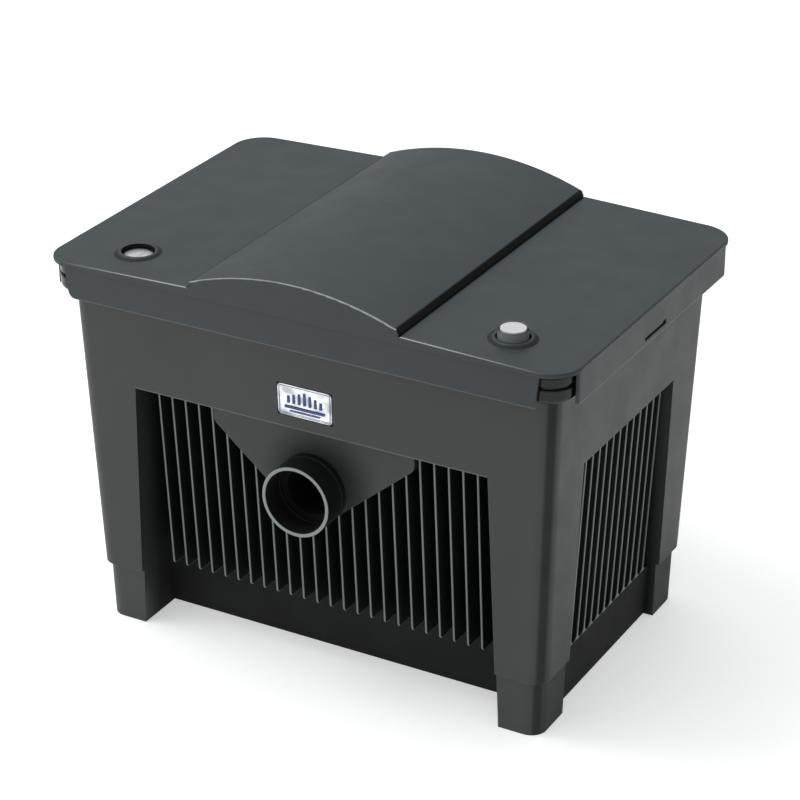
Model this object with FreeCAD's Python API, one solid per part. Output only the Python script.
import FreeCAD, Part
import math
import os

V = FreeCAD.Vector
X, Y, Z = V(1, 0, 0), V(0, 1, 0), V(0, 0, 1)

# ---------------------------------------------------------------- driving dimensions (mm)
# Lid, seen from above: a flat lid with a barrel-shaped raised middle
lid_length = 555.0
lid_width = 380.2
lid_corner_r = 32.0
lid_edge_z = 396.3
lid_slope = 0.028
lid_wall = 3.0
lip_height = 4.0
lip_overhang = 1.1
lip_edge_r = 1.6
dome_half = 111.6
dome_step_h = 6.2
dome_step_w = 3.0
dome_rise = 30.7
foot_groove = 1.0
foot_groove_shift = 0.3
skirt_height = 35.3
skirt_notch = 27.5
skirt_notch_slant = 3.8
skirt_corner_r = 8.0
bulge_half = 46.0
bulge_drop = 9.0
slot_length = 47.0
slot_height = 5.0
slot_lift = 7.0
slot_end_r = 1.2
rib_inset = 2.0
rib_width = 3.0

# Tub: tapered walls on four corner posts
tub_wall = 3.5
draft = 0.0346
band_inset = 19.6
post_r = 16.0
foot_step_z = 60.4
foot_step = 3.6
foot_draft = 0.025
floor_top = 10.0
floor_pocket = 6.0
floor_pocket_margin = 16.3
rim_lift = 2.0
rim_height = 26.5
rim_groove_lift = 15.0
rim_groove_h = 3.0
rim_groove_d = 2.5
rim_gap = 1.9
rim_round = 6.0
rim_edge_r = 1.2
rim_wall = 4.0
seal_height = 1.7
seal_inset = 1.0
seal_width = 7.0

# Recesses between the posts
band_height = 126.8
front_post_w = 67.4
front_recess_flare = 9.0
front_depth = 69.0
front_wall_lean = 0.0723
side_post_w = 70.5
side_recess_flare = 4.0
side_depth_top = 8.5
side_depth_bottom = 10.3

# Ribs that stand in the recesses
fin_pitch = 15.06
fin_thick = 2.4
fin_tip_z = 68.3
fin_setback_top = 14.0
fin_setback_tip = 22.0
fin_tip_r = 3.0
slot_depth = 22.0
slot_bottom_z = 57.0

# Outlet boss on the front wall and the pipe in it
boss_depth = 54.5
boss_half = 109.0
boss_angle = 40.0
boss_shoulder = 1.0
boss_corner_r = 12.0
pipe_drop = 65.0
pipe_r = 36.0
pipe_wall = 3.5
pipe_length = 33.0
pipe_edge_r = 0.6
pipe_step_h = 4.0
neck_step = 7.0
neck_wall = 3.5
neck_length = 24.0
outlet_seal_h = 2.0

# Badge on the front band
badge_w = 58.0
badge_h = 32.0
badge_lift = 29.1
badge_r = 4.0
badge_depth = 1.2
badge_thick = 1.3
badge_gap = 0.9

# Cuts run past the faces they open, and edges are told apart, by these lengths
over = 1.0
beyond = 20.0
near = 0.01

# Fit clearances
sit = 0.3
running = 0.06
slip = 1.5

# Two round openings in the lid, with a float indicator on the right
port_inset_x = 78.0
port_inset_y = 51.1
port_r = 16.2
collar_foot = 7.0
collar_rim = 2.4
collar_h = 2.4
collar_round = 1.0
sleeve_lap = 1.8
sleeve_wall = 2.4
sleeve_flange = 6.0
sleeve_flange_h = 2.4
sleeve_drop = 1.5
cap_play = 1.1
cap_wall = 1.2
cap_rise = 9.6
cap_length = 26.0
cap_round = 1.5
disc_gap = 1.5
disc_h = 3.0
plunger_foot_lift = 3.0
plunger_foot_h = 2.5
rod_r = 3.0
rod_top_drop = 10.0
float_r = 20.0
float_h = 42.0
float_round = 5.0
float_seat = 4.0
float_lift = 17.0
guide_length = 42.0
vent_r = 3.0
vent_circle_r = 9.0
vent_count = 4

# Thermometer under the left opening
housing_length = 22.0
lens_drop = 3.6
lens_play = 1.0
lens_wall = 1.4
lens_round = 1.8
dial_drop = 6.7
dial_h = 1.5
dial_gap = 0.6
dial_stand_r = 5.0
pointer_pivot_r = 1.0
pointer_pivot_depth = 0.9
pointer_pivot_h = 2.2
pointer_hub_r = 1.8
pointer_hub_h = 1.0
pointer_h = 0.7
pointer_tail = 3.0
pointer_half = 0.8
pointer_tip_half = 0.3
pointer_end_gap = 2.3
probe_r = 3.2
probe_round = 2.0
probe_end_z = 262.0

# Latches in the two side skirts
latch_half = 22.0
latch_side_gap = 5.0
latch_inset = 10.4
latch_hinge_lift = 0.4
latch_barrel_r = 2.6
latch_pin_r = 1.5
latch_plate = 2.6
latch_height = 12.6
latch_lug = 4.0
latch_room = 2.4
latch_pocket_drop = 8.0
latch_pocket_top = 2.0
nose_play = 0.4
nose_gap = 0.8
nose_flare = 1.5
nose_side_gap = 1.0

# Foam cartridges standing on a perforated deck
cartridge_count = 4
cartridge_end_gap = 15.5
foam_room = 39.5
foam_round = 5.0
rear_gap = 5.55
plate_h = 3.0
core_r = 16.0
core_wall = 2.5
core_slot_w = 10.0
core_slot_h = 16.0
core_slot_pitch = 38.0
core_slot_start = 20.0
spigot_h = 12.0
handle_h = 38.0
handle_half = 34.0
handle_corner = 12.0
handle_r = 5.0
deck_z = 52.0
deck_h = 4.0
deck_gap = 3.0
deck_leg = 12.0
deck_hole_w = 7.0
deck_column_pitch = 15.4
deck_row_pitch = 16.8
frame_rail = 3.0
frame_height = 120.0
frame_tie_h = 12.0
frame_window_side = 20.0
frame_window_low = 25.0
frame_window_top = 15.0
cover_gap = 8.55
cover_wall = 3.0

# Rear service pad with inlet and drain
pad_half = 50.0
pad_depth = 23.5
inlet_drop = 54.5
inlet_r = 25.0
inlet_wall = 5.0
inlet_flange_r = 34.0
inlet_flange_h = 4.0
inlet_length = 23.5
nut_h = 8.0
gasket_h = 2.0
gasket_inset = 0.5
tail_r = 20.0
tail_wall = 3.5
tail_length = 38.3
tail_collar_h = 4.0
tail_neck = 1.0
barb_length = 7.0
barb_count = 3
barb_rise = 0.6
barb_fall = 1.4
union_r = 32.0
union_overlap = 12.0
union_lip = 3.0
union_grip_r = 1.4
union_grip_count = 24
deflector_side = 4.0
deflector_rise = 10.0
deflector_wall = 2.5
deflector_gap = 1.0
drain_z = 31.0
drain_r = 15.0
drain_wall = 3.0
drain_flange_r = 19.0
drain_flange_h = 3.0
drain_nut_h = 6.0
valve_gap = 8.0
valve_depth = 25.0
valve_half = 22.0
valve_bottom_z = 9.0
valve_top_z = 76.0
valve_round = 5.0
gate_half = 14.0
gate_h = 28.0
gate_thick = 3.0
stem_r = 3.0
stem_root = 2.0
stem_well = 3.0
bonnet_h = 4.0
gland_r = 9.0
gland_h = 8.0
handle_z = 92.0
handle_hub_r = 6.6
handle_hub_h = 12.0
handle_hub_drop = 8.0
handle_bar_r = 4.0
handle_bar_half = 24.0
handle_bar_lift = 2.0
stub_length = 28.0
drain_cap_r = 18.5
drain_cap_length = 16.0
drain_cap_end = 3.0
drain_cap_grip_r = 1.1
drain_cap_grip_count = 18

# ---------------------------------------------------------------- values worked out once
half_l = lid_length / 2
half_w = lid_width / 2
dome_foot_z = lid_edge_z + lid_slope * (half_l - dome_half)
dome_top_half = dome_half - dome_step_w
dome_top_foot_z = dome_foot_z + dome_step_h
dome_apex_z = lid_edge_z + dome_rise
skirt_in = lip_overhang + lid_wall
skirt_bottom_z = lid_edge_z - skirt_height
slot_z = skirt_bottom_z + slot_lift
rim_x = half_l - skirt_in - rim_gap
rim_y = half_w - skirt_in - rim_gap
rim_r = lid_corner_r - skirt_in - rim_gap
rim_bottom_z = skirt_bottom_z + rim_lift
rim_top_z = rim_bottom_z + rim_height
rim_groove_z = rim_bottom_z + rim_groove_lift
seal_top_z = rim_top_z + seal_height
rib_bottom_z = seal_top_z + sit
mould_angle = math.degrees(math.atan(draft))

recess_top_z = lid_edge_z - band_height
front_recess_half = half_l - band_inset - front_post_w
side_recess_half = half_w - band_inset - side_post_w
front_wall_y0 = half_w - band_inset - front_depth
fin_count = int(2 * front_recess_half / fin_pitch) - 1
side_slot_count = int(2 * side_recess_half / fin_pitch) + 1

boss_face_y = front_wall_y0 + boss_depth
boss_tip_r = pipe_r - boss_shoulder
pipe_z = recess_top_z - pipe_drop
pipe_end_y = boss_face_y + pipe_length
neck_r = pipe_r - neck_step
badge_z = recess_top_z + badge_lift
cover_half = boss_half + cover_wall

port_x = half_l - port_inset_x
port_y = port_inset_y - half_w
port_top_z = lid_edge_z + lid_slope * (half_l - port_x) + collar_h
port_under_z = port_top_z - collar_h - lid_wall
collar_r = port_r + collar_foot
collar_top_r = port_r + collar_rim
sleeve_r = port_r + sleeve_lap
sleeve_bore = sleeve_r - sleeve_wall
sleeve_top_z = port_under_z - sleeve_drop
housing_floor_z = sleeve_top_z - housing_length + sleeve_wall
cap_r = sleeve_bore - cap_play
cap_top_z = port_top_z + cap_rise
float_z = recess_top_z + float_lift
disc_top_z = cap_top_z - cap_wall
disc_r = cap_r - cap_wall - disc_gap
lens_r = sleeve_bore - lens_play
dial_r = lens_r - lens_wall - dial_gap
dial_top_z = port_top_z - dial_drop

latch_hinge_x = half_l - skirt_in - latch_inset
latch_hinge_z = skirt_bottom_z + latch_hinge_lift
latch_top_z = latch_hinge_z + latch_height
latch_pocket_half = latch_half + latch_side_gap
latch_wall_x = latch_hinge_x - latch_barrel_r - latch_room

deck_top = deck_z + deck_h
foam_h = recess_top_z - foam_room

pad_face_y = front_wall_y0 + pad_depth
inlet_z = recess_top_z - inlet_drop
inlet_end_y = pad_face_y + inlet_length
tail_start_y = inlet_end_y + gasket_h
tail_end_y = tail_start_y + tail_length
valve_y0 = pad_face_y + valve_gap
valve_y1 = valve_y0 + valve_depth
gate_y = (valve_y0 + valve_y1) / 2
stub_end_y = valve_y1 + stub_length


# ---------------------------------------------------------------- shape helpers
def box(x0, x1, y0, y1, z0, z1):
    return Part.makeBox(x1 - x0, y1 - y0, z1 - z0, V(x0, y0, z0))


def rod(radius, start, axis, length):
    return Part.makeCylinder(radius, length, start, axis)


def tube(outer_r, inner_r, start, axis, length):
    return rod(outer_r, start, axis, length).cut(rod(inner_r, start, axis, length))


def hexagon(across_flats, start, length):
    """Six-sided prism along +Y."""
    corner = across_flats / math.sqrt(3)
    points = []
    for side in range(7):
        angle = math.radians(60 * side)
        points.append(start + V(corner * math.cos(angle), 0, corner * math.sin(angle)))
    return Part.Face(Part.makePolygon(points)).extrude(V(0, length, 0))


def rounded_rect(half_x, half_y, radius, z):
    """Closed wire: rectangle with arc corners, at height z."""
    edges = []
    quarter = math.pi / 2
    centres = [(1, 1), (-1, 1), (-1, -1), (1, -1)]
    arcs = []
    for index, (sx, sy) in enumerate(centres):
        centre = V(sx * (half_x - radius), sy * (half_y - radius), z)
        turn = index * quarter
        spots = []
        for share in (0, 0.5, 1):
            angle = turn + share * quarter
            spots.append(centre + V(math.cos(angle), math.sin(angle), 0) * radius)
        arcs.append(spots)
    for index, spots in enumerate(arcs):
        edges.append(Part.Arc(*spots).toShape())
        following = arcs[(index + 1) % 4]
        edges.append(Part.LineSegment(spots[2], following[0]).toShape())
    return Part.Wire(edges)


def rounded_block(half_x, half_y, radius, z0, z1):
    return Part.Face(rounded_rect(half_x, half_y, radius, z0)).extrude(V(0, 0, z1 - z0))


def tapered_block(low, high, radius):
    """Loft between two rounded rectangles given as (half_x, half_y, z)."""
    wires = [rounded_rect(low[0], low[1], radius, low[2])]
    wires.append(rounded_rect(high[0], high[1], radius, high[2]))
    return Part.makeLoft(wires, True, True)


def wedge(low, high):
    """Loft between two plain rectangles given as (x0, x1, y0, y1, z)."""
    wires = []
    for x0, x1, y0, y1, z in (low, high):
        corners = [V(x0, y0, z), V(x1, y0, z), V(x1, y1, z), V(x0, y1, z), V(x0, y0, z)]
        wires.append(Part.makePolygon(corners))
    return Part.makeLoft(wires, True, True)


def prism(points, direction):
    return Part.Face(Part.makePolygon(points + [points[0]])).extrude(direction)


def mirror_x(shape):
    return shape.mirror(V(0, 0, 0), X)


def mirror_y(shape):
    return shape.mirror(V(0, 0, 0), Y)


def fuse(shapes):
    whole = shapes[0]
    if len(shapes) > 1:
        whole = whole.multiFuse(shapes[1:])
    return whole.removeSplitter()


def fillet_where(shape, radius, wanted):
    return shape.makeFillet(radius, [edge for edge in shape.Edges if wanted(edge)])


def save(shapes, name):
    shape = shapes if not isinstance(shapes, list) else Part.makeCompound(shapes)
    shape.exportStep("parts/" + name + ".step")


# ---------------------------------------------------------------- faces of the tub
def band_x(z):
    return half_l - band_inset - draft * (skirt_bottom_z - z)


def band_y(z):
    return half_w - band_inset - draft * (skirt_bottom_z - z)


def foot_x(z):
    return band_x(foot_step_z) - foot_step - foot_draft * (foot_step_z - z)


def foot_y(z):
    return band_y(foot_step_z) - foot_step - foot_draft * (foot_step_z - z)


def front_wall(z):
    """Distance of the recessed front and rear walls from the middle."""
    return front_wall_y0 + front_wall_lean * z


def side_wall(z):
    """Distance of the recessed end walls from the middle."""
    low = foot_x(0) - side_depth_bottom
    high = band_x(recess_top_z) - side_depth_top
    return low + (high - low) * z / recess_top_z


def front_opening(z):
    return front_recess_half + front_recess_flare * (recess_top_z - z) / recess_top_z


def side_opening(z):
    return side_recess_half + side_recess_flare * (recess_top_z - z) / recess_top_z


def front_recess(grow, low_z, top_z):
    """Space in front of the front wall; grow makes it bigger on the tub's side."""
    far = half_w + beyond
    rows = []
    for z in (low_z, top_z):
        half = front_opening(z) + grow
        rows.append((-half, half, -far, grow - front_wall(z), z))
    return wedge(*rows)


def side_recess(depth, grow, low_z, top_z):
    """Space outside the right end wall, sunk by depth into that wall."""
    far = half_l + beyond
    rows = []
    for z in (low_z, top_z):
        half = side_opening(z) + grow
        rows.append((side_wall(z) - depth, far, -half, half, z))
    return wedge(*rows)


# ---------------------------------------------------------------- tub
def tub_outside():
    feet = tapered_block((foot_x(0), foot_y(0), 0),
                         (foot_x(foot_step_z), foot_y(foot_step_z), foot_step_z), post_r)
    low = (band_x(foot_step_z), band_y(foot_step_z), foot_step_z)
    high = (band_x(rim_bottom_z), band_y(rim_bottom_z), rim_bottom_z)
    band = tapered_block(low, high, post_r)
    bead = rounded_block(rim_x, rim_y, rim_r, rim_bottom_z, rim_groove_z)
    bead = fillet_where(bead, rim_round, lambda edge: edge.BoundBox.ZMax < rim_bottom_z + near)
    bead = fillet_where(bead, rim_edge_r, lambda edge: edge.BoundBox.ZMin > rim_groove_z - near)
    neck = rounded_block(rim_x - rim_groove_d, rim_y - rim_groove_d, rim_r - rim_groove_d,
                         rim_groove_z, rim_groove_z + rim_groove_h)
    top = rounded_block(rim_x, rim_y, rim_r, rim_groove_z + rim_groove_h, rim_top_z)
    top = fillet_where(top, rim_edge_r, lambda edge: edge.BoundBox.ZLength < near)
    return fuse([feet, band, bead, neck, top])


def tub_inside():
    """The water space, one wall thickness inside every outer face."""
    low = foot_step_z + tub_wall
    foot_r = post_r - tub_wall
    feet = tapered_block((foot_x(floor_top) - tub_wall, foot_y(floor_top) - tub_wall, floor_top),
                         (foot_x(low) - tub_wall, foot_y(low) - tub_wall, low), foot_r)
    flare_z = rim_bottom_z + rim_wall
    band = tapered_block((band_x(low) - tub_wall, band_y(low) - tub_wall, low),
                         (band_x(flare_z) - tub_wall, band_y(flare_z) - tub_wall, flare_z), foot_r)
    top = rounded_block(rim_x - rim_wall, rim_y - rim_wall, rim_r - rim_wall, flare_z,
                        rim_top_z + over)
    jog_x = latch_wall_x - tub_wall
    jog_half = latch_pocket_half + tub_wall
    jog = box(jog_x, half_l, -jog_half, jog_half, rim_bottom_z, rim_top_z + 2 * over)
    top = top.cut(jog).cut(mirror_x(jog))
    space = fuse([feet, band, top])
    front = front_recess(tub_wall, 0, recess_top_z + tub_wall)
    side = side_recess(slot_depth + tub_wall, tub_wall, 0, recess_top_z + tub_wall)
    for pocket in (front, mirror_y(front), side, mirror_x(side)):
        space = space.cut(pocket)
    return space


def side_hollow():
    """Space behind the end wall's plain foot, open to the ground."""
    top = slot_bottom_z - tub_wall
    rows = []
    for z in (-over, top):
        half = side_opening(z) - tub_wall
        rows.append((side_wall(z) - slot_depth, side_wall(z) - tub_wall, -half, half, z))
    return wedge(*rows)


def fin(x):
    """One upright rib standing on the front wall."""
    tip_y = -(band_y(fin_tip_z) - fin_setback_tip)
    top_y = -(band_y(recess_top_z) - fin_setback_top)
    points = [V(x, -front_wall(fin_tip_z), fin_tip_z), V(x, tip_y, fin_tip_z),
              V(x, top_y, recess_top_z), V(x, -front_wall(recess_top_z), recess_top_z)]
    plate = prism(points, V(fin_thick, 0, 0)).translated(V(-fin_thick / 2, 0, 0))
    return fillet_where(plate, fin_tip_r, lambda edge: edge.BoundBox.YMax < tip_y + near
                        and edge.BoundBox.ZMax < fin_tip_z + near)


def fin_places():
    return [(index - (fin_count - 1) / 2) * fin_pitch for index in range(fin_count)]


def make_front_ribs():
    block = outlet_boss()
    return [fin(x).cut(block) for x in fin_places()]


def make_rear_ribs():
    return [mirror_y(fin(x)) for x in fin_places() if abs(x) > pad_half + fin_pitch / 2]


def end_rib(y):
    """One rib of the right end wall, its foot curving out into the slots beside it."""
    foot_r = (fin_pitch - fin_thick) / 2
    foot_z = slot_bottom_z + foot_r
    dip = foot_r * math.sin(math.pi / 4)

    def side(sign):
        near_y = y + sign * fin_thick / 2
        far_y = y + sign * fin_pitch / 2
        start, end = V(0, near_y, foot_z), V(0, far_y, slot_bottom_z)
        middle = V(0, far_y - sign * dip, foot_z - dip)
        return start, middle, end

    left, right = side(-1), side(1)
    high_left, high_right = (V(0, spots[0].y, recess_top_z) for spots in (left, right))
    edges = [Part.LineSegment(high_left, high_right), Part.LineSegment(high_right, right[0]),
             Part.Arc(*right), Part.LineSegment(right[2], left[2]), Part.Arc(*left),
             Part.LineSegment(left[0], high_left)]
    bar = Part.Face(Part.Wire([edge.toShape() for edge in edges])).extrude(V(half_l, 0, 0))
    low_x, high_x = side_wall(slot_bottom_z), side_wall(recess_top_z)
    start_y = y - fin_pitch
    depth = prism([V(low_x - slot_depth, start_y, slot_bottom_z), V(low_x, start_y, slot_bottom_z),
                   V(high_x, start_y, recess_top_z),
                   V(high_x - slot_depth, start_y, recess_top_z)], V(0, 2 * fin_pitch, 0))
    return bar.common(depth)


def make_end_ribs():
    rib_count = side_slot_count - 1
    return [end_rib((index - (rib_count - 1) / 2) * fin_pitch) for index in range(rib_count)]


def boss_outline(inset, y, top_z):
    """V-shaped outline around the pipe, in a plane across Y."""
    slant = math.radians(boss_angle)
    tip_r = boss_tip_r - inset
    half = boss_half - inset
    corner_r = boss_corner_r - inset
    touch = V(tip_r * math.sin(slant), y, pipe_z - tip_r * math.cos(slant))
    meet_z = touch.z + (half - touch.x) * math.tan(slant)
    trim = corner_r * math.tan((math.pi / 2 - slant) / 2)
    above = V(half, y, meet_z + trim)
    below = V(half - trim * math.cos(slant), y, meet_z - trim * math.sin(slant))
    centre = V(half - corner_r, y, meet_z + trim)
    middle_angle = -(math.pi / 2 - slant) / 2
    middle = centre + V(corner_r * math.cos(middle_angle), 0, corner_r * math.sin(middle_angle))

    def flip(point):
        return V(-point.x, point.y, point.z)

    tip = V(0, y, pipe_z - tip_r)
    edges = [Part.LineSegment(V(half, y, top_z), above), Part.Arc(above, middle, below),
             Part.LineSegment(below, touch), Part.Arc(touch, tip, flip(touch)),
             Part.LineSegment(flip(touch), flip(below)),
             Part.Arc(flip(below), flip(middle), flip(above)),
             Part.LineSegment(flip(above), V(-half, y, top_z)),
             Part.LineSegment(V(-half, y, top_z), V(half, y, top_z))]
    return Part.Wire([edge.toShape() for edge in edges])


def boss(inset, face_y, back_y, top_z):
    outline = boss_outline(inset, -face_y, top_z)
    return Part.Face(outline).extrude(V(0, face_y - back_y, 0))


def outlet_boss():
    return boss(0, boss_face_y, front_wall_y0, recess_top_z + tub_wall / 2)


def badge_shape(grow, depth, height):
    """Rounded plate lying on the sloping front band."""
    plate = rounded_block(badge_w / 2 + grow, badge_h / 2 + grow, badge_r + grow, 0, height)
    plate.rotate(V(0, 0, 0), X, 90 + mould_angle)
    plate.translate(V(0, -(band_y(badge_z) - depth), badge_z))
    return plate


def latch_pocket():
    return box(latch_wall_x, half_l, -latch_pocket_half, latch_pocket_half,
               rim_bottom_z - latch_pocket_drop, rim_groove_z - latch_pocket_top)


def latch_lugs():
    inner_x = band_x(latch_hinge_z) - tub_wall / 2
    lugs = []
    for side in (-1, 1):
        edges = sorted((side * latch_pocket_half, side * (latch_pocket_half + latch_lug)))
        lugs.append(box(inner_x, latch_hinge_x + latch_barrel_r, edges[0], edges[1],
                        latch_hinge_z - latch_barrel_r, rim_bottom_z + rim_round))
    return lugs


def latch_pin():
    reach = latch_pocket_half + latch_lug
    return rod(latch_pin_r, V(latch_hinge_x, -reach, latch_hinge_z), Y, 2 * reach)


def make_tub():
    body = tub_outside()
    front = front_recess(0, -over, recess_top_z)
    side = side_recess(0, 0, -over, recess_top_z)
    deep = side_recess(slot_depth, 0, slot_bottom_z, recess_top_z)
    for space in (front, mirror_y(front), side, mirror_x(side), deep, mirror_x(deep)):
        body = body.cut(space)
    pad = box(-pad_half, pad_half, front_wall_y0, pad_face_y, 0, recess_top_z + tub_wall / 2)
    lugs = latch_lugs()
    lugs += [mirror_x(lug) for lug in lugs]
    body = body.multiFuse([outlet_boss(), pad] + lugs)
    hollow = [side_hollow(), latch_pocket()]
    hollow += [mirror_x(shape) for shape in hollow]
    hollow.append(tub_inside())
    behind = front_wall_y0 - 2 * tub_wall
    above = recess_top_z + 2 * tub_wall
    hollow.append(boss(tub_wall, boss_face_y - tub_wall, behind, above))
    pad_in = pad_half - tub_wall
    hollow.append(box(-pad_in, pad_in, behind, pad_face_y - tub_wall, floor_top, above))
    body = body.cut(hollow)
    pocket_half = front_wall_y0 - floor_pocket_margin
    through = tub_wall + 2 * over
    holes = [box(-front_recess_half, front_recess_half, -pocket_half, pocket_half,
                 -over, floor_pocket)]
    holes.append(rod(neck_r + sit, V(0, -boss_face_y - over, pipe_z), Y, through))
    holes.append(rod(inlet_r + sit, V(0, pad_face_y + over, inlet_z), -Y, through))
    holes.append(rod(drain_r + sit, V(0, pad_face_y + over, drain_z), -Y, through))
    holes.append(badge_shape(badge_gap, badge_depth, 3 * badge_depth))
    holes += [latch_pin(), mirror_x(latch_pin())]
    return body.cut(holes).removeSplitter()


def tub_zones():
    """Boxes that share out the tub: four posts, four walls, the floor and the band above."""
    x_cut, z_cut = front_recess_half, recess_top_z
    y_cut = side_recess_half - tub_wall
    right = [box(x_cut, half_l, y_cut, half_w, 0, z_cut),
             box(x_cut, half_l, -half_w, -y_cut, 0, z_cut),
             box(x_cut, half_l, -y_cut, y_cut, 0, z_cut),
             box(0, half_l, -y_cut, y_cut, z_cut, lid_edge_z)]
    front = [box(-x_cut, x_cut, -half_w, 0, floor_top, z_cut),
             box(-half_l, half_l, -half_w, -y_cut, z_cut, lid_edge_z)]
    floor = box(-x_cut, x_cut, -half_w, half_w, 0, floor_top)
    return (right + [mirror_x(zone) for zone in right] + front
            + [mirror_y(zone) for zone in front] + [floor])


def make_tub_blocks():
    body = make_tub()
    return [body.common(zone) for zone in tub_zones()]


def make_rim_seal():
    inner = seal_inset + seal_width
    ring = rounded_block(rim_x - seal_inset, rim_y - seal_inset, rim_r - seal_inset, rim_top_z,
                         seal_top_z)
    return ring.cut(rounded_block(rim_x - inner, rim_y - inner, rim_r - inner, rim_top_z,
                                  seal_top_z))


def make_badge_plate():
    return badge_shape(0, badge_depth, badge_thick)


# ---------------------------------------------------------------- outlet
def make_outlet_pipe():
    bore_r = neck_r - neck_wall
    end = V(0, -pipe_end_y, pipe_z)
    sleeve_tube = tube(pipe_r, pipe_r - pipe_wall, end, Y, pipe_length)
    sleeve_tube = fillet_where(sleeve_tube, pipe_edge_r,
                               lambda edge: edge.BoundBox.YMax < near - pipe_end_y)
    step = tube(pipe_r - pipe_wall / 2, bore_r, V(0, -boss_face_y - pipe_step_h, pipe_z), Y,
                pipe_step_h)
    neck = tube(neck_r, bore_r, V(0, -boss_face_y, pipe_z), Y, neck_length)
    return fuse([sleeve_tube, step, neck])


def make_outlet_seal():
    inside_y = -boss_face_y + tub_wall
    return tube(boss_tip_r - tub_wall - gasket_inset, neck_r + running, V(0, inside_y, pipe_z), Y,
                outlet_seal_h)


def make_outlet_locknut():
    inside_y = -boss_face_y + tub_wall + outlet_seal_h
    return tube(boss_tip_r - tub_wall - sit, neck_r + running, V(0, inside_y, pipe_z), Y, nut_h)


def make_outlet_chamber_cover():
    face_y = cover_y()
    top = recess_top_z
    plate = box(-cover_half, cover_half, -face_y, cover_wall - face_y, deck_top, top)
    reach_low = tub_wall + sit - front_wall(deck_top)
    reach_top = tub_wall + sit - front_wall(top)
    side = prism([V(0, -face_y, deck_top), V(0, reach_low, deck_top), V(0, reach_top, top),
                  V(0, -face_y, top)], V(cover_wall, 0, 0))
    right = side.translated(V(cover_half - cover_wall, 0, 0))
    return fuse([plate, right, mirror_x(right)])


# ---------------------------------------------------------------- inside the tub
def cover_y():
    """Distance of the outlet chamber's cover from the middle."""
    return front_wall(deck_top) - tub_wall - cover_gap


def frame_ends():
    """Front and rear ends of the rails that hold the cartridges."""
    return cover_wall - cover_y(), front_wall(deck_top) - tub_wall - rear_gap


def foam_middle():
    return sum(frame_ends()) / 2


def foam_depth():
    front, back = frame_ends()
    return back - front - 2 * (frame_rail + slip)


def cartridge_pitch():
    inner_half = side_wall(deck_top) - slot_depth - tub_wall - cartridge_end_gap
    return 2 * inner_half / cartridge_count


def cartridge_places():
    pitch = cartridge_pitch()
    return [(index - (cartridge_count - 1) / 2) * pitch for index in range(cartridge_count)]


def foam_width():
    return cartridge_pitch() - frame_rail - 2 * slip


def make_collector_deck():
    half_x = side_wall(deck_z) - slot_depth - tub_wall - deck_gap
    half_y = front_wall(deck_z) - tub_wall - deck_gap
    plate = box(-half_x, half_x, -half_y, half_y, deck_z, deck_top)
    legs = []
    for sx in (-1, 1):
        for sy in (-1, 1):
            leg_x = sx * (half_x - 2 * deck_leg)
            leg_y = sy * (half_y - 2 * deck_leg)
            legs.append(box(leg_x - deck_leg / 2, leg_x + deck_leg / 2, leg_y - deck_leg / 2,
                            leg_y + deck_leg / 2, floor_top, deck_z))
    notch_half = boss_half - deck_leg
    holes = [box(-notch_half, notch_half, -half_y - over, -cover_y(), 0, deck_top + over)]
    columns = int(foam_width() / deck_column_pitch)
    rows = int(foam_depth() / deck_row_pitch) - 1
    for centre in cartridge_places():
        for column in range(columns):
            x = centre + (column - (columns - 1) / 2) * deck_column_pitch
            for row in range(rows):
                y = foam_middle() + (row - (rows - 1) / 2) * deck_row_pitch
                holes.append(box(x - deck_hole_w / 2, x + deck_hole_w / 2, y - deck_hole_w / 2,
                                 y + deck_hole_w / 2, deck_z - over, deck_top + over))
    return fuse([plate] + legs).cut(holes)


def make_cartridge_frame():
    """Upright rails that keep the cartridges apart, tied by two side bars."""
    front, back = frame_ends()
    pitch = cartridge_pitch()
    rails = []
    for index in range(cartridge_count + 1):
        x = (index - cartridge_count / 2) * pitch
        rail = box(x - frame_rail / 2, x + frame_rail / 2, front, back,
                   deck_top, deck_top + frame_height)
        window = box(x - frame_rail, x + frame_rail, front + frame_rail + frame_window_side,
                     back - frame_rail - frame_window_side, deck_top + frame_window_low,
                     deck_top + frame_height - frame_window_top)
        rails.append(rail.cut(window))
    half = cartridge_count / 2 * pitch
    for y in (front, back - frame_rail):
        for z in (deck_top, deck_top + frame_height - frame_tie_h):
            rails.append(box(-half, half, y, y + frame_rail, z, z + frame_tie_h))
    return fuse(rails)


def cartridge_block(x, low, high):
    block = rounded_block(foam_width() / 2, foam_depth() / 2, foam_round, low, high)
    return block.translated(V(x, foam_middle(), 0))


def make_foam(x):
    low = deck_top + plate_h
    block = cartridge_block(x, low, low + foam_h)
    return block.cut(rod(core_r + sit, V(x, foam_middle(), low), Z, foam_h))


def make_foam_core(x):
    low = deck_top + plate_h
    y = foam_middle()
    core = tube(core_r, core_r - core_wall, V(x, y, low), Z, foam_h)
    levels = int((foam_h - core_slot_start) / core_slot_pitch) + 1
    holes = []
    for level in range(levels):
        z = low + core_slot_start + level * core_slot_pitch
        holes.append(box(x - core_slot_w / 2, x + core_slot_w / 2, y - 2 * core_r, y + 2 * core_r,
                         z, z + core_slot_h))
    return core.cut(holes)


def make_foam_base(x):
    y = foam_middle()
    base = cartridge_block(x, deck_top + sit, deck_top + plate_h)
    outer_r = core_r - core_wall - sit
    bore_r = outer_r - core_wall
    spigot = tube(outer_r, bore_r, V(x, y, deck_top + plate_h), Z, spigot_h)
    return fuse([base, spigot]).cut(rod(bore_r, V(x, y, 0), Z, recess_top_z))


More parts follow.
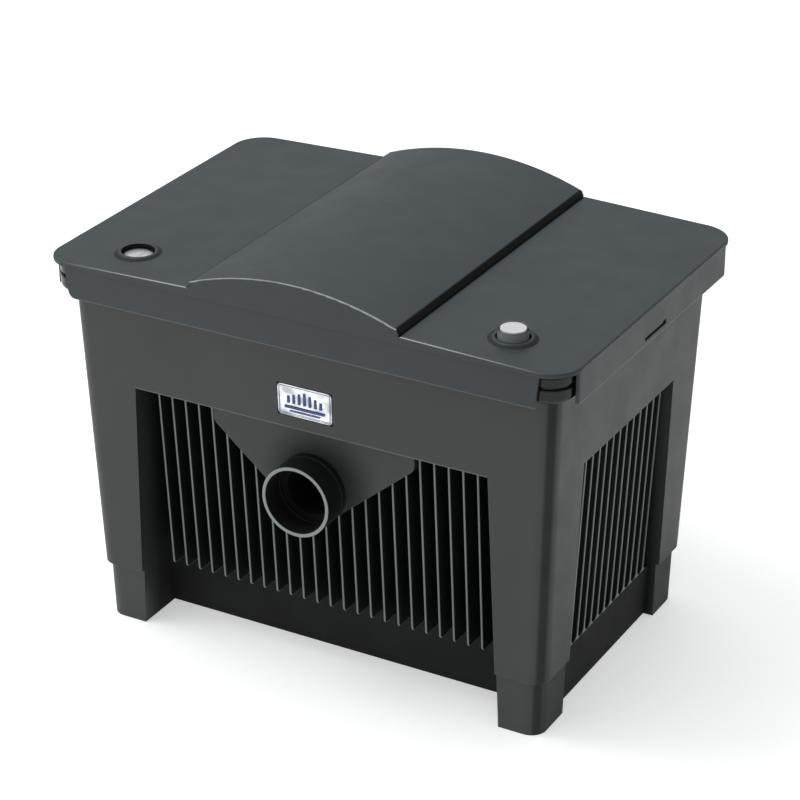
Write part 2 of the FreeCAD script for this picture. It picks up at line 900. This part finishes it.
def make_foam_top(x):
    low = deck_top + plate_h + foam_h
    top = low + plate_h
    plate = cartridge_block(0, low, top)
    centre = V(0, foam_middle(), top)
    shoulder = handle_h - handle_corner
    bend = handle_half - handle_corner
    points = [centre + V(0, -handle_half, 0), centre + V(0, -handle_half, shoulder),
              centre + V(0, -bend, handle_h), centre + V(0, bend, handle_h),
              centre + V(0, handle_half, shoulder), centre + V(0, handle_half, 0)]
    bars = []
    for start, end in zip(points, points[1:]):
        bars.append(rod(handle_r, start, end - start, (end - start).Length))
    for joint in points[1:-1]:
        bars.append(Part.makeSphere(handle_r, joint))
    return fuse([plate] + bars).translated(V(x, 0, 0))


# ---------------------------------------------------------------- inlet and drain at the rear
def pad_inside_y():
    """Where the flanges behind the rear pad's wall end."""
    return pad_face_y - tub_wall - gasket_h


def make_inlet_bulkhead():
    start = V(0, pad_inside_y() - inlet_flange_h, inlet_z)
    length = inlet_end_y - start.y
    flange = rod(inlet_flange_r, start, Y, inlet_flange_h)
    barrel = rod(inlet_r, start, Y, length)
    return fuse([flange, barrel]).cut(rod(inlet_r - inlet_wall, start, Y, length))


def make_inlet_seal():
    return tube(inlet_flange_r - 2 * gasket_inset, inlet_r + running,
                V(0, pad_inside_y(), inlet_z), Y, gasket_h)


def make_inlet_locknut():
    start = V(0, pad_face_y, inlet_z)
    return hexagon(2 * inlet_flange_r, start, nut_h).cut(
        rod(inlet_r + running, start, Y, nut_h))


def make_inlet_gasket():
    return tube(inlet_r - gasket_inset, tail_r - tail_wall, V(0, inlet_end_y, inlet_z), Y,
                gasket_h)


def make_inlet_hose_tail():
    start = V(0, tail_start_y, inlet_z)
    collar = rod(inlet_r, start, Y, tail_collar_h)
    stem = rod(tail_r - tail_neck, start, Y, tail_length)
    barbs = []
    for index in range(barb_count):
        y = tail_end_y - (index + 1) * barb_length
        barbs.append(Part.makeCone(tail_r + barb_rise, tail_r - barb_fall, barb_length,
                                   V(0, y, inlet_z), Y))
    return fuse([collar, stem] + barbs).cut(rod(tail_r - tail_wall, start, Y, tail_length))


def grip_grooves(count, groove_r, circle_r, start, length):
    """Round grooves along Y, spaced round a nut or cap."""
    grooves = []
    for index in range(count):
        angle = 2 * math.pi * index / count
        spot = start + V(circle_r * math.cos(angle), 0, circle_r * math.sin(angle))
        grooves.append(rod(groove_r, spot, Y, length))
    return grooves


def make_inlet_union_nut():
    start = V(0, inlet_end_y - union_overlap, inlet_z)
    length = union_overlap + gasket_h + tail_collar_h + union_lip
    shell = rod(union_r, start, Y, length)
    thread = rod(inlet_r + running, start, Y, length - union_lip + running)
    mouth = rod(tail_r - tail_neck + sit, start, Y, length)
    grips = grip_grooves(union_grip_count, union_grip_r, union_r, start, length)
    return shell.cut([thread, mouth] + grips)


def make_inlet_deflector():
    """Hood that turns the incoming water down, open to the wall and below."""
    half = inlet_flange_r + deflector_side
    wall_y = pad_face_y - tub_wall - sit
    near_y = frame_ends()[1] + deflector_gap
    low = inlet_z - inlet_flange_r - deflector_rise
    high = inlet_z + inlet_flange_r + deflector_rise
    shell = box(-half, half, near_y, wall_y, low, high)
    room_half = half - deflector_wall
    return shell.cut(box(-room_half, room_half, near_y + deflector_wall, wall_y + over,
                         low - over, high - deflector_wall))


def make_drain_spigot():
    start = V(0, pad_inside_y() - drain_flange_h, drain_z)
    length = valve_y0 - start.y
    flange = rod(drain_flange_r, start, Y, drain_flange_h)
    barrel = rod(drain_r, start, Y, length)
    return fuse([flange, barrel]).cut(rod(drain_r - drain_wall, start, Y, length))


def make_drain_seal():
    return tube(drain_flange_r - gasket_inset, drain_r + running,
                V(0, pad_inside_y(), drain_z), Y, gasket_h)


def make_drain_locknut():
    start = V(0, pad_face_y, drain_z)
    return hexagon(2 * drain_flange_r, start, drain_nut_h).cut(
        rod(drain_r + running, start, Y, drain_nut_h))


def make_drain_valve_body():
    shell = box(-valve_half, valve_half, valve_y0, valve_y1, valve_bottom_z, valve_top_z)
    shell = fillet_where(shell, valve_round,
                         lambda edge: abs(edge.BoundBox.YLength - valve_depth) < near)
    bore = rod(drain_r - drain_wall, V(0, valve_y0, drain_z), Y, valve_depth)
    half = gate_half + sit
    slot = box(-half, half, gate_y - gate_thick / 2, gate_y + gate_thick / 2,
               drain_z - gate_h / 2 - sit, valve_top_z)
    well = rod(stem_r + sit, V(0, gate_y, drain_z + gate_h / 2 - stem_well), Z, valve_top_z)
    return shell.cut([bore, slot, well])


def make_drain_bonnet():
    plate = box(-valve_half, valve_half, valve_y0, valve_y1, valve_top_z, valve_top_z + bonnet_h)
    gland = rod(gland_r, V(0, gate_y, valve_top_z), Z, gland_h)
    return fuse([plate, gland]).cut(rod(stem_r + running, V(0, gate_y, valve_top_z), Z, gland_h))


def make_drain_stub():
    return tube(drain_r, drain_r - drain_wall, V(0, valve_y1, drain_z), Y, stub_length)


def make_drain_cap():
    start = V(0, stub_end_y + drain_cap_end - drain_cap_length, drain_z)
    shell = rod(drain_cap_r, start, Y, drain_cap_length)
    thread = rod(drain_r + running, start, Y, drain_cap_length - drain_cap_end)
    grips = grip_grooves(drain_cap_grip_count, drain_cap_grip_r, drain_cap_r, start,
                         drain_cap_length)
    return shell.cut([thread] + grips)


def make_drain_gate():
    half_thick = gate_thick / 2 - running
    low = drain_z - gate_h / 2
    root_z = low + gate_h - stem_root
    blade = box(-gate_half, gate_half, gate_y - half_thick, gate_y + half_thick, low, low + gate_h)
    stem = rod(stem_r, V(0, gate_y, root_z), Z, handle_z - root_z)
    return fuse([blade, stem])


def make_drain_handle():
    hub = rod(handle_hub_r, V(0, gate_y, handle_z - handle_hub_drop), Z, handle_hub_h)
    bar = rod(handle_bar_r, V(-handle_bar_half, gate_y, handle_z + handle_bar_lift), X,
              2 * handle_bar_half)
    return fuse([hub, bar]).cut(rod(stem_r, V(0, gate_y, 0), Z, handle_z))


# ---------------------------------------------------------------- lid
def lid_profile(inset, y, base_z):
    """Section of the lid across its length: sloping side panels and a barrel middle."""
    half = half_l - inset
    edge = V(half, y, lid_edge_z - inset)
    foot = V(dome_half - inset, y, dome_foot_z - inset)
    shoulder = V(dome_top_half - inset, y, dome_top_foot_z - inset)
    apex = V(0, y, dome_apex_z - inset)

    def flip(point):
        return V(-point.x, point.y, point.z)

    edges = [Part.LineSegment(V(half, y, base_z), edge), Part.LineSegment(edge, foot),
             Part.LineSegment(foot, shoulder), Part.Arc(shoulder, apex, flip(shoulder)),
             Part.LineSegment(flip(shoulder), flip(foot)), Part.LineSegment(flip(foot), flip(edge)),
             Part.LineSegment(flip(edge), V(-half, y, base_z)),
             Part.LineSegment(V(-half, y, base_z), V(half, y, base_z))]
    return Part.Face(Part.Wire([edge.toShape() for edge in edges]))


def lid_solid(inset, outline_inset, base_z):
    """The section run through the lid's whole width, cut to its rounded outline."""
    reach = half_w + over
    long_bar = lid_profile(inset, -reach, base_z).extrude(V(0, 2 * reach, 0))
    outline = rounded_block(half_l - outline_inset, half_w - outline_inset,
                            lid_corner_r - outline_inset, base_z - over, dome_apex_z + over)
    return long_bar.common(outline)


def arc_points(centre, radius, start_angle, end_angle):
    """Three points of an arc in a plane across X."""
    spots = []
    for share in (0, 0.5, 1):
        angle = start_angle + share * (end_angle - start_angle)
        spots.append(centre + V(0, radius * math.cos(angle), radius * math.sin(angle)))
    return spots


def skirt_bulge(x):
    """Lower edge of an end skirt, dropped in the middle by two S-curves."""
    radius = (bulge_half ** 2 + bulge_drop ** 2) / (4 * bulge_drop)
    turn = 2 * math.atan(bulge_drop / bulge_half)
    up = math.pi / 2
    outer = arc_points(V(x, bulge_half, skirt_bottom_z - radius), radius, up, up + turn)
    inner = arc_points(V(x, 0, skirt_bottom_z - bulge_drop + radius), radius, turn - up, -up)

    def flip(spots):
        return [V(spot.x, -spot.y, spot.z) for spot in reversed(spots)]

    top = skirt_bottom_z + lid_wall
    edges = [Part.LineSegment(V(x, -bulge_half, top), V(x, bulge_half, top)),
             Part.LineSegment(V(x, bulge_half, top), outer[0]), Part.Arc(*outer), Part.Arc(*inner),
             Part.Arc(*flip(inner)), Part.Arc(*flip(outer)),
             Part.LineSegment(V(x, -bulge_half, skirt_bottom_z), V(x, -bulge_half, top))]
    wire = Part.Wire([edge.toShape() for edge in edges])
    return Part.Face(wire).extrude(V(lid_wall, 0, 0))


def corner_notch():
    """Cut-out at one lid corner that bares the tub's rim."""
    low = skirt_bottom_z - over
    high = lid_edge_z - lip_height
    near_x = half_l - skirt_notch
    near_y = half_w - skirt_notch
    out_x = half_l + over
    out_y = -half_w - over
    front = prism([V(near_x, out_y, high), V(near_x - skirt_notch_slant, out_y, low),
                   V(out_x, out_y, low), V(out_x, out_y, high)], V(0, skirt_in + 2 * over, 0))
    side = box(half_l - skirt_in - over, out_x, out_y, -near_y, low, high)
    corner = box(near_x, out_x, out_y, -near_y, low, high)
    inner = rounded_block(rim_x + rim_gap, rim_y + rim_gap, lid_corner_r - skirt_in, low, high)
    return fuse([front, side, corner.cut(inner)])


def is_soft_skirt_corner(edge):
    """Lower corners of the skirts at the front left and rear right notches."""
    bounds = edge.BoundBox
    centre = bounds.Center
    low = bounds.ZLength < near and abs(bounds.ZMin - skirt_bottom_z) < near
    beside_notch = (abs(centre.x) > half_l - skirt_notch - 2 * skirt_notch_slant
                    and abs(centre.y) > half_w - skirt_notch - skirt_notch_slant)
    through_front = bounds.XLength < near and abs(bounds.YLength - lid_wall) < near
    through_end = bounds.YLength < near and abs(bounds.XLength - lid_wall) < near
    return low and beside_notch and (through_front or through_end) and centre.x * centre.y > 0


def port_collar(x):
    cone = Part.makeCone(collar_r, collar_top_r, collar_h + over,
                         V(x, port_y, port_top_z - collar_h - over), Z)
    return fillet_where(cone, collar_round, lambda edge: edge.BoundBox.ZMin > port_top_z - near)


def locating_rib():
    """Rib under the lid that drops just inside the tub's rim."""
    inner = rib_inset + rib_width
    ring = rounded_block(rim_x - rib_inset, rim_y - rib_inset, rim_r - rib_inset, rib_bottom_z,
                         dome_apex_z)
    ring = ring.cut(rounded_block(rim_x - inner, rim_y - inner, rim_r - inner, rib_bottom_z,
                                  dome_apex_z))
    return ring.common(lid_solid(lid_wall / 2, skirt_in, skirt_bottom_z))


def latch_slot():
    slot = box(half_l - skirt_in - over, half_l + over, -slot_length / 2, slot_length / 2,
               slot_z - slot_height / 2, slot_z + slot_height / 2)
    return fillet_where(slot, slot_end_r, lambda edge: edge.BoundBox.XLength > skirt_in)


def make_lid():
    skirt = lid_solid(0, lip_overhang, skirt_bottom_z)
    cap = lid_solid(0, 0, lid_edge_z - lip_height)
    cap = fillet_where(cap, lip_edge_r, is_lid_top_edge)
    inside = lid_solid(lid_wall, skirt_in, skirt_bottom_z - over)
    shell = skirt.fuse(cap).cut(inside).fuse(locating_rib())
    bulges = [skirt_bulge(half_l - skirt_in)]
    bulges.append(mirror_x(bulges[0]))
    shell = shell.multiFuse(bulges + [port_collar(port_x), port_collar(-port_x)])
    cuts = []
    for x in (port_x, -port_x):
        cuts.append(rod(port_r, V(x, port_y, sleeve_top_z), Z, dome_apex_z - sleeve_top_z))
    notch = corner_notch()
    cuts += [notch, mirror_x(notch), mirror_y(notch), mirror_x(mirror_y(notch))]
    cuts += [latch_slot(), mirror_x(latch_slot())]
    groove = rod(foot_groove, V(dome_half + foot_groove_shift, -half_w - over, dome_foot_z), Y,
                 lid_width + 2 * over)
    cuts += [groove, mirror_x(groove)]
    shell = shell.cut(cuts).removeSplitter()
    return fillet_where(shell, skirt_corner_r, is_soft_skirt_corner)


def is_lid_top_edge(edge):
    """Outline edges of the lid's top, without the short dome steps."""
    bounds = edge.BoundBox
    on_front = bounds.YLength < near and abs(abs(bounds.YMin) - half_w) < near
    on_side = bounds.XLength < near and abs(abs(bounds.XMin) - half_l) < near
    in_corner = bounds.XLength > lid_corner_r / 2 and bounds.YLength > lid_corner_r / 2
    high = bounds.ZMin > lid_edge_z - near
    step = bounds.XLength < dome_step_w + near and bounds.ZLength > dome_step_h - near
    return high and not step and (on_front or on_side or in_corner)


# ---------------------------------------------------------------- lid fittings
def sleeve(x, length):
    """Flanged sleeve hanging under a port."""
    flange = rod(sleeve_flange + sleeve_r, V(x, port_y, sleeve_top_z - sleeve_flange_h), Z,
                 sleeve_flange_h)
    low = sleeve_top_z - length
    barrel = rod(sleeve_r, V(x, port_y, low), Z, length)
    return fuse([flange, barrel]).cut(rod(sleeve_bore, V(x, port_y, low + sleeve_wall), Z, length))


def make_indicator_guide():
    low = sleeve_top_z - guide_length
    cuts = [rod(rod_r + running, V(port_x, port_y, low), Z, sleeve_wall)]
    for index in range(vent_count):
        angle = 2 * math.pi * (index + 0.5) / vent_count
        spot = V(port_x + vent_circle_r * math.cos(angle),
                 port_y + vent_circle_r * math.sin(angle), low)
        cuts.append(rod(vent_r, spot, Z, sleeve_wall))
    return sleeve(port_x, guide_length).cut(cuts)


def make_indicator_cap():
    base = V(port_x, port_y, cap_top_z - cap_length)
    outer = rod(cap_r, base, Z, cap_length)
    outer = fillet_where(outer, cap_round, lambda edge: edge.BoundBox.ZMin > cap_top_z - near)
    return outer.cut(rod(cap_r - cap_wall, base, Z, cap_length - cap_wall))


def make_indicator_disc():
    """White disc on a hollow stem, with a foot that closes the cap's lower end."""
    low = disc_top_z - cap_length + plunger_foot_lift
    disc = rod(disc_r, V(port_x, port_y, disc_top_z - disc_h), Z, disc_h)
    foot = rod(cap_r - cap_wall, V(port_x, port_y, low), Z, plunger_foot_h)
    stem = rod(2 * rod_r, V(port_x, port_y, low), Z, disc_top_z - low)
    socket = rod(rod_r, V(port_x, port_y, low), Z, disc_top_z - rod_top_drop - low)
    return fuse([disc, stem, foot]).cut(socket)


def make_indicator_rod():
    low = float_z + float_seat
    return rod(rod_r, V(port_x, port_y, low), Z, disc_top_z - rod_top_drop - low)


def make_indicator_float():
    body = rod(float_r, V(port_x, port_y, float_z), Z, float_h)
    body = fillet_where(body, float_round, lambda edge: edge.BoundBox.ZLength < near)
    return body.cut(rod(rod_r, V(port_x, port_y, float_z + float_seat), Z, float_h))


def make_thermometer_housing():
    low = sleeve_top_z - housing_length
    hole = rod(probe_r, V(-port_x, port_y, low), Z, sleeve_wall)
    return sleeve(-port_x, housing_length).cut(hole)


def make_thermometer_dial():
    plate_z = dial_top_z - dial_h
    dial = rod(dial_r, V(-port_x, port_y, plate_z), Z, dial_h)
    stand = rod(dial_stand_r, V(-port_x, port_y, housing_floor_z), Z, plate_z - housing_floor_z)
    bearing = rod(pointer_pivot_r + running, V(-port_x, port_y, dial_top_z - over), Z, 2 * over)
    return fuse([dial, stand]).cut(bearing)


def make_thermometer_pointer():
    low = dial_top_z + sit
    pivot = rod(pointer_pivot_r, V(-port_x, port_y, dial_top_z - pointer_pivot_depth), Z,
                pointer_pivot_h)
    hub = rod(pointer_hub_r, V(-port_x, port_y, low), Z, pointer_hub_h)
    tip_y = port_y + dial_r - pointer_end_gap
    hand = prism([V(-port_x - pointer_half, port_y - pointer_tail, low),
                  V(-port_x + pointer_half, port_y - pointer_tail, low),
                  V(-port_x + pointer_tip_half, tip_y, low),
                  V(-port_x - pointer_tip_half, tip_y, low)], V(0, 0, pointer_h))
    return fuse([pivot, hub, hand])


def make_thermometer_lens():
    top = port_top_z - lens_drop
    base = V(-port_x, port_y, housing_floor_z)
    height = top - housing_floor_z
    outer = rod(lens_r, base, Z, height)
    outer = fillet_where(outer, lens_round, lambda edge: edge.BoundBox.ZMin > top - near)
    return outer.cut(rod(lens_r - lens_wall, base, Z, height - lens_wall))


def make_thermometer_probe():
    stem = rod(probe_r, V(-port_x, port_y, probe_end_z), Z, housing_floor_z - probe_end_z)
    return fillet_where(stem, probe_round, lambda edge: edge.BoundBox.ZMax < probe_end_z + near)


# ---------------------------------------------------------------- latches
def make_latch_clip():
    """Right-hand clip: a plate on a barrel, with a nose behind the skirt's slot."""
    barrel = rod(latch_barrel_r, V(latch_hinge_x, -latch_half, latch_hinge_z), Y, 2 * latch_half)
    plate_x = latch_hinge_x - latch_barrel_r
    plate = box(plate_x, plate_x + latch_plate, -latch_half, latch_half, latch_hinge_z, latch_top_z)
    nose_x = half_l - skirt_in - nose_gap
    nose_y = nose_side_gap - latch_half
    nose_half = slot_height / 2 - nose_play
    root_half = nose_half + nose_flare
    nose = prism([V(plate_x, nose_y, slot_z - root_half), V(nose_x, nose_y, slot_z - nose_half),
                  V(nose_x, nose_y, slot_z + nose_half), V(plate_x, nose_y, slot_z + root_half)],
                 V(0, -2 * nose_y, 0))
    bore = rod(latch_pin_r + running, V(latch_hinge_x, -latch_half, latch_hinge_z), Y,
               2 * latch_half)
    return fuse([barrel, plate, nose]).cut(bore)


# ---------------------------------------------------------------- every node
def main():
    os.makedirs("parts", exist_ok=True)
    save(make_tub_blocks(), "tub")
    save(make_front_ribs(), "front_ribs")
    save(make_rear_ribs(), "rear_ribs")
    save(make_end_ribs(), "end_ribs_right")
    save([mirror_x(rib) for rib in make_end_ribs()], "end_ribs_left")
    save(make_rim_seal(), "rim_seal")
    save(make_badge_plate(), "badge_plate")
    save(make_outlet_pipe(), "outlet_pipe")
    save(make_outlet_seal(), "outlet_seal")
    save(make_outlet_locknut(), "outlet_locknut")
    save(make_outlet_chamber_cover(), "outlet_chamber_cover")
    save(make_collector_deck(), "collector_deck")
    save(make_cartridge_frame(), "cartridge_frame")
    save(make_inlet_bulkhead(), "inlet_bulkhead")
    save(make_inlet_seal(), "inlet_seal")
    save(make_inlet_locknut(), "inlet_locknut")
    save(make_inlet_gasket(), "inlet_gasket")
    save(make_inlet_union_nut(), "inlet_union_nut")
    save(make_inlet_hose_tail(), "inlet_hose_tail")
    save(make_inlet_deflector(), "inlet_deflector")
    save(make_drain_spigot(), "drain_spigot")
    save(make_drain_seal(), "drain_seal")
    save(make_drain_locknut(), "drain_locknut")
    save(make_drain_valve_body(), "drain_valve_body")
    save(make_drain_bonnet(), "drain_bonnet")
    save(make_drain_stub(), "drain_stub")
    save(make_drain_cap(), "drain_cap")
    save(make_drain_gate(), "drain_gate")
    save(make_drain_handle(), "drain_handle")
    save([latch_pin(), mirror_x(latch_pin())], "latch_pins")
    save(make_lid(), "lid")
    save(make_indicator_guide(), "indicator_guide")
    save(make_indicator_cap(), "indicator_cap")
    save(make_indicator_disc(), "indicator_disc")
    save(make_indicator_rod(), "indicator_rod")
    save(make_indicator_float(), "indicator_float")
    save(make_thermometer_housing(), "thermometer_housing")
    save(make_thermometer_dial(), "thermometer_dial")
    save(make_thermometer_pointer(), "thermometer_pointer")
    save(make_thermometer_lens(), "thermometer_lens")
    save(make_thermometer_probe(), "thermometer_probe")
    save(make_latch_clip(), "latch_clip_right")
    save(mirror_x(make_latch_clip()), "latch_clip_left")
    for index, x in enumerate(cartridge_places()):
        number = "_" + str(index + 1)
        save(make_foam(x), "foam" + number)
        save(make_foam_core(x), "foam_core" + number)
        save(make_foam_base(x), "foam_base" + number)
        save(make_foam_top(x), "foam_top" + number)


main()
